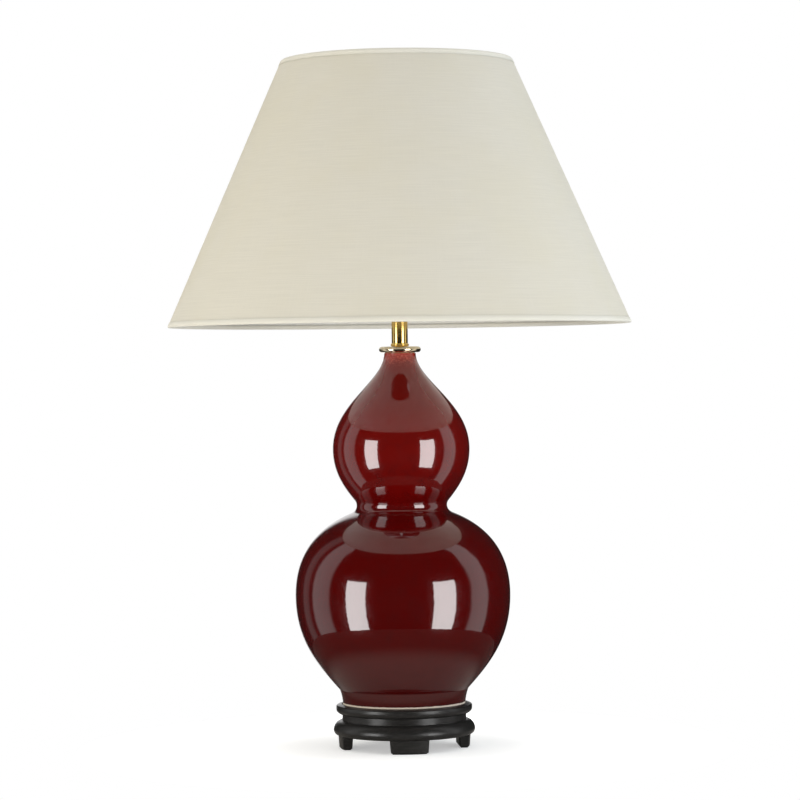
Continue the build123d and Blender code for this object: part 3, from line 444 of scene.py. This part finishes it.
finishes = {
    "glaze": glaze(),
    "lacquered_wood": lacquer(),
    "felt": felt("black_felt", (0.012, 0.012, 0.013), (0.045, 0.044, 0.046)),
    "cord_bushing": plastic("moulded_bushing", (0.014, 0.014, 0.014), rough=0.42, relief=0.00003),
    "zinc_steel": spangle("zinc_plate", (0.60, 0.61, 0.63), rough=0.28),
    "brass_rod": threads(metal("threaded_brass", RAW_BRASS, (0.45, 0.30, 0.12), rough=0.26,
                               lathe=False), **ROD_THREAD),
    "cork": cork(),
    "pale_brass": metal("pale_polished_brass", (0.86, 0.74, 0.52), (0.74, 0.58, 0.36),
                        rough=0.13, smudge=0.08),
    "polished_brass": metal("polished_brass", (0.80, 0.55, 0.17), (0.66, 0.40, 0.10),
                            rough=0.10, smudge=0.08),
    "holder_brass": metal("satin_brass", (0.76, 0.56, 0.24), (0.60, 0.42, 0.17),
                          rough=0.30, coat=0.4),
    "liner_card": card(),
    "phenolic": plastic("black_phenolic", (0.016, 0.013, 0.012), rough=0.2, relief=0.000012),
    "contact_brass": metal("stamped_brass", RAW_BRASS, (0.50, 0.34, 0.13), rough=0.24,
                           lathe=False),
    "bulb_glass": bulb_glass(),
    "bulb_cap_metal": threads(metal("rolled_cap", (0.76, 0.76, 0.76), (0.58, 0.57, 0.55),
                                    rough=0.24, lathe=False), **CAP_THREAD),
    "bulb_insulator": plastic("black_vitrite", (0.010, 0.010, 0.012), rough=0.08,
                              relief=0.00001),
    "solder": spangle("tinned_solder", (0.58, 0.58, 0.58), rough=0.3),
    "shade_fabric": cloth("ivory_cloth", (0.80, 0.772, 0.692), through=0.32),
    "shade_hem": cloth("ivory_hem", (0.80, 0.775, 0.70), through=0.10),
    "shade_lining": film(),
    "white_wire": coated_wire(),
}

slots = {
    "lacquered_wood": ["stand_body"] + [f"stand_foot_{n}" for n in range(1, 5)],
    "felt": [f"foot_pad_{n}" for n in range(1, 5)] + ["underside_felt"],
    "cord_bushing": ["cord_bushing"],
    "zinc_steel": ["base_washer", "lock_washer", "base_nut", "socket_set_screw",
                   "terminal_screws"],
    "brass_rod": ["threaded_rod"],
    "cork": ["seat_gasket", "neck_washer"],
    "glaze": ["gourd_body"],
    "pale_brass": ["vase_cap"],
    "polished_brass": ["neck_collar", "neck_tube", "neck_bush", "harp_saddle", "harp_bow",
                       "harp_ferrule_left", "harp_ferrule_right", "harp_stud", "finial"],
    "holder_brass": ["socket_cap", "socket_shell"],
    "liner_card": ["socket_liner"],
    "phenolic": ["switch_body", "switch_knob"],
    "contact_brass": ["screw_shell", "centre_contact", "switch_spindle"],
    "bulb_glass": ["bulb_glass"],
    "bulb_cap_metal": ["bulb_cap"],
    "bulb_insulator": ["bulb_insulator"],
    "solder": ["bulb_contact"],
    "shade_fabric": ["shade_fabric"],
    "shade_hem": ["shade_bottom_hem", "shade_top_hem"],
    "shade_lining": ["shade_lining"],
    "white_wire": ["shade_bottom_ring", "shade_spider"],
}
for slot, members in slots.items():
    for member in members:
        mesh = nodes[member].data
        mesh.materials.clear()
        mesh.materials.append(finishes[slot].mat)


# --------------------------------------------------------------- mesh helpers

def link(thing):
    bpy.context.scene.collection.objects.link(thing)


def made_mesh(name, bm):
    """Closes a bmesh into a mesh of this name."""
    mesh = bpy.data.meshes.new(name)
    bm.to_mesh(mesh)
    bm.free()
    return mesh


def add_piece(name, mesh, body, slot, *replaced):
    """A soft piece that rides on a body and stands for the CAD nodes named last."""
    mesh.materials.append(finishes[slot].mat)
    for face in mesh.polygons:
        face.use_smooth = True
    piece = bpy.data.objects.new(name, mesh)
    link(piece)
    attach(piece, body)
    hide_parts(*replaced)
    return piece


def direction(azimuth):
    """Level direction at an azimuth in degrees: 0 is the front, 90 is +X."""
    turn = math.radians(azimuth)
    return math.sin(turn), -math.cos(turn)


def past_corner(place, count):
    """The next place in a closed round of this many."""
    return (place + 1) % count


# --------------------------------------------------------------- soft pieces

# The shade's cone, its cloth and its rims, in millimetres and degrees.
SHADE_LOW, SHADE_HIGH = 464.0, 756.0
LOW_RADIUS, HIGH_RADIUS = 255.2, 127.0
LEAN = math.atan2(LOW_RADIUS - HIGH_RADIUS, SHADE_HIGH - SHADE_LOW)
HEM_CLOTH = 0.4 / math.cos(LEAN)    # the hem's thickness, measured level
CLOTH_DEPTH = HEM_CLOTH + 0.05      # the cloth lies this far inside the hem's face
RIM_WIDTH = 5.66055
RIM_ROUND = RIM_WIDTH / 2
SEAM = 180.0


def shade_radius(height):
    return LOW_RADIUS - (height - SHADE_LOW) * math.tan(LEAN)


def shade_cloth():
    """The cloth, once round the cone from its lapped seam at the back."""
    low, high = SHADE_LOW + RIM_ROUND, SHADE_HIGH - RIM_ROUND
    columns, rows = 432, 72
    lap, lap_step = 2.4, 0.42       # the seam's lap in degrees, and its thickness
    lap_slope = 4                   # the lap is at its thickness after a quarter of its width
    crown, waviness = 0.12, 0.22    # how far the cloth stands out between its rims
    waves_round, waves_up = 5.0, 0.012
    finer = 2.7                     # of the second layer of waves
    plan_radius = 0.19              # metres of plan to a radian
    bm = bmesh.new()
    plan = bm.loops.layers.uv.new("cloth_plan")
    flat = {}
    grid = []
    for i in range(columns + 1):
        share = i / columns
        turned = share * (360 + lap)
        x, y = direction(SEAM + turned)
        over = min(1.0, max(0.0, (turned - 360) / lap * lap_slope))
        column = []
        for j in range(rows + 1):
            rise = j / rows
            height = low + rise * (high - low)
            held = math.sin(math.pi * rise)
            place = Vector((x * waves_round, y * waves_round, height * waves_up))
            swell = waviness * held * (noise.noise(place) + 0.5 * noise.noise(place * finer))
            radius = (shade_radius(height) - CLOTH_DEPTH + crown * held + swell
                      + lap_step * over)
            vert = bm.verts.new((x * radius * MM, y * radius * MM, height * MM))
            slant = (height - SHADE_LOW) / math.cos(LEAN) * MM
            flat[vert] = (math.radians(turned) * plan_radius, slant)
            column.append(vert)
        grid.append(column)
    for left, right in zip(grid, grid[1:]):
        for j in range(rows):
            face = bm.faces.new((left[j], right[j], right[j + 1], left[j + 1]))
            for loop in face.loops:
                loop[plan].uv = flat[loop.vert]
    return made_mesh("shade_cloth", bm)


def rounded(points, reach, steps=4):
    """An open line with each inner corner cut to a short curve."""
    line = [points[0]]
    for before, corner, after in zip(points, points[1:], points[2:]):
        a, b, c = Vector(before), Vector(corner), Vector(after)
        start = b + (a - b).normalized() * min(reach, (a - b).length / 2.2)
        end = b + (c - b).normalized() * min(reach, (c - b).length / 2.2)
        for k in range(steps + 1):
            t = k / steps
            line.append(tuple(start.lerp(b, t).lerp(b.lerp(end, t), t)))
    line.append(points[-1])
    return line


def hem_mesh(name, edge, up, tuck, lap_at):
    """A pressed fold of cloth round one rim, with the step where its end laps over.

    edge is the rim's height, up is 1 or -1 towards the cloth, tuck is how far the fold
    reaches inside, and lap_at is the azimuth of the lap.
    """
    crease, leg = 1.4, RIM_ROUND + 3.2      # the cut of its corners, and its outer leg's height
    half_corner = math.radians(22.5)
    outer_curve, inner_curve = 0.7, 0.45
    columns, lap = 480, 2.9
    lap_step, lap_rise, lap_fall = 0.34, 0.3, 0.75
    ripple_height, ripple_rate = 0.10, 22   # of the whole fold
    wave_height, wave_rate = 0.16, 60       # of its outer leg's cut edge
    plan_radius = 0.2                       # metres of plan to a radian

    def side(inset):
        """One face of the fold, as distances inward from the cone and up from the edge."""
        c = crease + inset * math.tan(half_corner)
        return [(inset, leg), (inset, c), (c, inset), (RIM_WIDTH - c, inset),
                (RIM_WIDTH - inset, c), (RIM_WIDTH - inset, RIM_ROUND + tuck)]

    outer, inner = rounded(side(0), outer_curve), rounded(side(HEM_CLOTH), inner_curve)
    rim = outer + inner[::-1]
    count = len(rim)
    bm = bmesh.new()
    plan = bm.loops.layers.uv.new("hem_plan")
    run = [0.0]
    for a, b in zip(rim, rim[1:] + rim[:1]):
        run.append(run[-1] + math.dist(a, b))
    rings = []
    for i in range(columns):
        azimuth = 360 * i / columns
        x, y = direction(azimuth)
        past = (azimuth - lap_at) % 360
        if past < lap:
            proud = lap_step * min(1.0, past / lap_rise)
        else:
            proud = lap_step * max(0.0, 1 - (past - lap) / lap_fall)
        ripple = ripple_height * noise.noise(Vector((x * ripple_rate, y * ripple_rate, edge)))
        ring = []
        for k, (depth, rise) in enumerate(rim):
            height = edge + up * rise
            on_leg = 1.0 if k < len(outer) // 2 else 0.0
            wave = 0.0
            if rise > leg - 0.1:
                wave = wave_height * noise.noise(Vector((x * wave_rate, y * wave_rate, edge + 9)))
            radius = shade_radius(height) - depth + proud * on_leg + ripple
            place = (x * radius * MM, y * radius * MM, (height + up * wave) * MM)
            ring.append(bm.verts.new(place))
        rings.append(ring)
    for i in range(columns):
        here, there = rings[i], rings[past_corner(i, columns)]
        u0, u1 = (math.radians(360 * (i + s) / columns) * plan_radius for s in (0, 1))
        for k in range(count):
            nxt = past_corner(k, count)
            corners = (here[k], there[k], there[nxt], here[nxt])
            face = bm.faces.new(corners if up < 0 else corners[::-1])
            where = {here[k]: (u0, run[k]), there[k]: (u1, run[k]),
                     there[nxt]: (u1, run[k + 1]), here[nxt]: (u0, run[k + 1])}
            for loop in face.loops:
                u, v = where[loop.vert]
                loop[plan].uv = (u, v * MM)
    bmesh.ops.recalc_face_normals(bm, faces=bm.faces)
    return made_mesh(name, bm)


FELT_EDGE = 0.16    # how far a felt piece's cut edge is drawn in, in millimetres
FELT_FUZZ = 0.25    # how far it wanders
FELT_RAGS = 0.9     # how often it does
FELT_UNDER = 0.999  # how much smaller its lowest outline is
FELT_SIDE = (       # share of the edge, share of the thickness
    (1.0, 0.12), (0.0, 0.4), (0.0, 0.6), (1.0, 0.88), (2.4, 1.0),
)


def felt_mesh(name, outline, low, high):
    """A cut piece of felt with soft, slightly ragged edges, in millimetres."""
    bm = bmesh.new()
    count = len(outline)
    middle = Vector((sum(p[0] for p in outline), sum(p[1] for p in outline))) / count
    rings = []
    for pull, rise in FELT_SIDE:
        ring = []
        for px, py in outline:
            point = Vector((px, py))
            inward = (middle - point).normalized()
            rag = FELT_FUZZ * noise.noise(Vector((px * FELT_RAGS, py * FELT_RAGS, rise * 3)))
            spot = point + inward * pull * FELT_EDGE - inward * rag
            height = low + (high - low) * rise
            ring.append(bm.verts.new((spot.x * MM, spot.y * MM, height * MM)))
        rings.append(ring)
    bottom = [bm.verts.new((v.co.x * FELT_UNDER, v.co.y * FELT_UNDER, low * MM))
              for v in rings[0]]
    rings.insert(0, bottom)
    for under, over in zip(rings, rings[1:]):
        for k in range(count):
            nxt = past_corner(k, count)
            bm.faces.new((under[k], under[nxt], over[nxt], over[k]))
    bm.faces.new(rings[0][::-1])
    bm.faces.new(rings[-1])
    bmesh.ops.recalc_face_normals(bm, faces=bm.faces)
    return made_mesh(name, bm)


cloth_piece = add_piece("shade_cloth", shade_cloth(), "shade", "shade_fabric", "shade_fabric")
low_hem = add_piece("lower_hem", hem_mesh("lower_hem", SHADE_LOW, up=1, tuck=1.7, lap_at=-58.0),
                    "shade", "shade_hem", "shade_bottom_hem")
high_hem = add_piece("upper_hem", hem_mesh("upper_hem", SHADE_HIGH, up=-1, tuck=0.2, lap_at=172.0),
                     "shade", "shade_hem", "shade_top_hem")

# A foot's pad in plan: a curved outer edge, straight sides and a straight inner edge.
PAD_REACH, PAD_INNER, PAD_HALF, PAD_SIDE = 70.32, 60.48, 18.77, 3.5
PAD_THICK = 1.0
OUTER_STEPS, INNER_STEPS = 24, 12

for number in range(4):
    turn = Matrix.Rotation(math.radians(90 * number), 2)
    arc = [(PAD_HALF * (1 - 2 * k / OUTER_STEPS)) for k in range(OUTER_STEPS + 1)]
    points = [(x, -math.sqrt(PAD_REACH ** 2 - x * x)) for x in arc]
    points += [(-PAD_HALF, -PAD_INNER - PAD_SIDE), (-PAD_HALF, -PAD_INNER)]
    points += [(-PAD_HALF * (1 - 2 * k / INNER_STEPS), -PAD_INNER)
               for k in range(1, INNER_STEPS + 1)]
    points += [(PAD_HALF, -PAD_INNER - PAD_SIDE)]
    outline = [tuple(turn @ Vector(p)) for p in points]
    name = f"felt_pad_{number + 1}"
    pad = add_piece(name, felt_mesh(name, outline, 0.0, PAD_THICK),
                    "lamp_base", "felt", f"foot_pad_{number + 1}")

DISC_RADIUS, DISC_LOW, DISC_HIGH = 55.9, 13.5, 15.0
disc = [(DISC_RADIUS * math.cos(math.radians(angle)), DISC_RADIUS * math.sin(math.radians(angle)))
        for angle in range(0, 360, 2)]
base_felt = add_piece("base_felt", felt_mesh("base_felt", disc, DISC_LOW, DISC_HIGH),
                      "lamp_base", "felt", "underside_felt")


# ------------------------------------------------------------ floor and world

FLOOR_RADIUS, FLOOR_RINGS, FLOOR_SPOKES = 0.36, 12, 96


def floor():
    """A round pale floor that keeps the shadow and fades to white, darker in gloss far out."""
    bm = bmesh.new()
    centre = bm.verts.new((0, 0, 0))
    before = None
    for r in range(1, FLOOR_RINGS + 1):
        ring = []
        for s in range(FLOOR_SPOKES):
            x, y = direction(360 * s / FLOOR_SPOKES)
            ring.append(bm.verts.new((x * FLOOR_RADIUS * r / FLOOR_RINGS,
                                      y * FLOOR_RADIUS * r / FLOOR_RINGS, 0)))
        for s in range(FLOOR_SPOKES):
            nxt = past_corner(s, FLOOR_SPOKES)
            if before is None:
                bm.faces.new((centre, ring[s], ring[nxt]))
            else:
                bm.faces.new((before[s], ring[s], ring[nxt], before[nxt]))
        before = ring
    mesh = made_mesh("floor", bm)
    m = Finish("pale_floor", (0.80, 0.80, 0.80), {"Roughness": 0.9})
    path = m.node("LightPath")
    away = m.reach()
    pale = m.mix(m.noise(m.place, scale=14, detail=3), (0.79, 0.79, 0.79), (0.81, 0.81, 0.81))
    mirrored = m.mix(m.step(away, 0.14, 0.22), (0.30, 0.28, 0.26), (0.06, 0.05, 0.045))
    m.set("Base Color", m.mix(path.outputs["Is Glossy Ray"], pale, mirrored))
    m.set("Emission Color", (1.0, 1.0, 1.0))
    white = m.step(away, 0.10, 0.34, start=0.42, end=1.0)
    m.set("Emission Strength", m.times(path.outputs["Is Camera Ray"], white))
    mesh.materials.append(m.mat)
    disc = bpy.data.objects.new("floor", mesh)
    link(disc)


# What gloss sees, by azimuth and elevation in degrees. A strength of 1 is white.
WHITE_BEHIND = (168, 174)           # where the white behind the lamp starts
PANELS = (                          # from, to, softness, strength
    (-117, -90, 2.5, 0.62),
    (73, 99, 2.5, 0.78),
    (-138, -125, 3, 0.17),
)
SOFTBOXES = ((-68.8, -45.2), (28.4, 53.6))
SOFTBOX_RISE = (-29, 16)
SOFTBOX_EDGE = 0.8
SOFTBOX_STRENGTH = 6.6
UNLIT = 0.012                       # added everywhere
# What lights the object: a level that rises a little towards the top, warmer on the left.
SKY_LEVEL, SKY_RISE = 0.71, 0.06
SKY_LEFT, SKY_RIGHT = (1.0, 0.975, 0.90), (0.95, 0.98, 1.0)


def world():
    """White for the camera. In gloss: white behind, panels at the sides, two softboxes."""
    made = bpy.data.worlds.new("studio")
    bpy.context.scene.world = made
    made.use_nodes = True
    w = Nodes(made.node_tree)
    out = w.node("OutputWorld")
    sky = w.node("Background")
    w.tree.links.new(sky.outputs[0], out.inputs[0])
    split = w.node("SeparateXYZ")
    w.feed(split.inputs[0], w.node("TexCoord").outputs["Generated"])
    x, y, z = split.outputs
    azimuth = w.times(w.math("ARCTAN2", x, w.times(y, -1.0)), 180 / math.pi)
    elevation = w.times(w.math("ARCSINE", z), 180 / math.pi)

    seen = w.step(w.math("ABSOLUTE", azimuth), *WHITE_BEHIND)
    for start, end, soft, strength in PANELS:
        seen = w.larger(seen, w.times(w.window(azimuth, start, end, soft), strength))
    boxes = reduce(w.plus, (w.window(azimuth, *sides, SOFTBOX_EDGE) for sides in SOFTBOXES))
    boxes = w.times(boxes, w.window(elevation, *SOFTBOX_RISE, SOFTBOX_EDGE))
    gloss = w.plus(w.plus(seen, UNLIT), w.times(boxes, SOFTBOX_STRENGTH))

    path = w.node("LightPath")
    shiny = path.outputs["Is Glossy Ray"]
    straight = w.larger(path.outputs["Is Camera Ray"], path.outputs["Is Transmission Ray"])
    plain = w.plus(w.times(z, SKY_RISE), SKY_LEVEL)
    level = w.choose(straight, w.choose(shiny, plain, gloss), 1.0)
    tint = w.mix(w.step(x, -0.9, 0.9), SKY_LEFT, SKY_RIGHT)
    w.feed(sky.inputs["Color"], w.mix(w.larger(shiny, straight), tint, (1.0, 1.0, 1.0)))
    w.feed(sky.inputs["Strength"], level)


def lamp(name, azimuth, away, height, size, power, color, aim):
    """An area lamp that looks at the axis at the height aim. The camera and gloss don't see it."""
    data = bpy.data.lights.new(name, "AREA")
    data.shape = "RECTANGLE"
    data.size, data.size_y = size
    data.energy = power
    data.color = color
    made = bpy.data.objects.new(name, data)
    x, y = direction(azimuth)
    made.location = (x * away, y * away, height)
    look = Vector((0, 0, aim)) - made.location
    made.rotation_euler = look.to_track_quat("-Z", "Y").to_euler()
    made.visible_camera = False
    made.visible_glossy = False
    link(made)


LAMPS = (  # name, azimuth, distance, height, size, watts, colour, height aimed at
    ("softbox_left", -56.8, 1.4, 0.03, (0.60, 1.24), 6.5, (1.0, 0.95, 0.82), 0.3),
    ("softbox_right", 41.0, 1.4, 0.03, (0.60, 1.24), 6.8, (0.94, 0.97, 1.0), 0.3),
    ("side_left", -104, 1.6, 0.75, (0.8, 1.6), 5.0, (1.0, 0.98, 0.92), 0.4),
    ("side_right", 92, 1.6, 0.75, (0.8, 1.6), 8.5, (0.88, 0.95, 1.0), 0.4),
    ("low_front", -5, 1.2, 0.05, (1.0, 0.5), 2.2, (1.0, 0.98, 0.95), 0.55),
    ("overhead", -10, 1.1, 2.1, (1.6, 1.6), 5.5, (1.0, 0.99, 0.96), 0.5),
)

floor()
world()
for settings in LAMPS:
    lamp(*settings)


# ---------------------------------------------------------------------- camera

CAMERA_PLACE = (-0.2817, -3.354, 0.413)
CAMERA_TARGET = Vector((-0.0005, 0, 0.382))
CAMERA_LENS, CAMERA_FILM = 137.7, 36
CAMERA_ROLL = -0.70

camera_data = bpy.data.cameras.new("camera")
camera_data.lens = CAMERA_LENS
camera_data.sensor_width = CAMERA_FILM
camera_data.clip_end = 50
camera = bpy.data.objects.new("camera", camera_data)
camera.location = CAMERA_PLACE
look = (CAMERA_TARGET - camera.location).to_track_quat("-Z", "Y")
roll = Matrix.Rotation(math.radians(CAMERA_ROLL), 3, "Z")
camera.rotation_euler = (look.to_matrix() @ roll).to_euler()
link(camera)
bpy.context.scene.camera = camera
bpy.context.scene.view_settings.view_transform = "Standard"
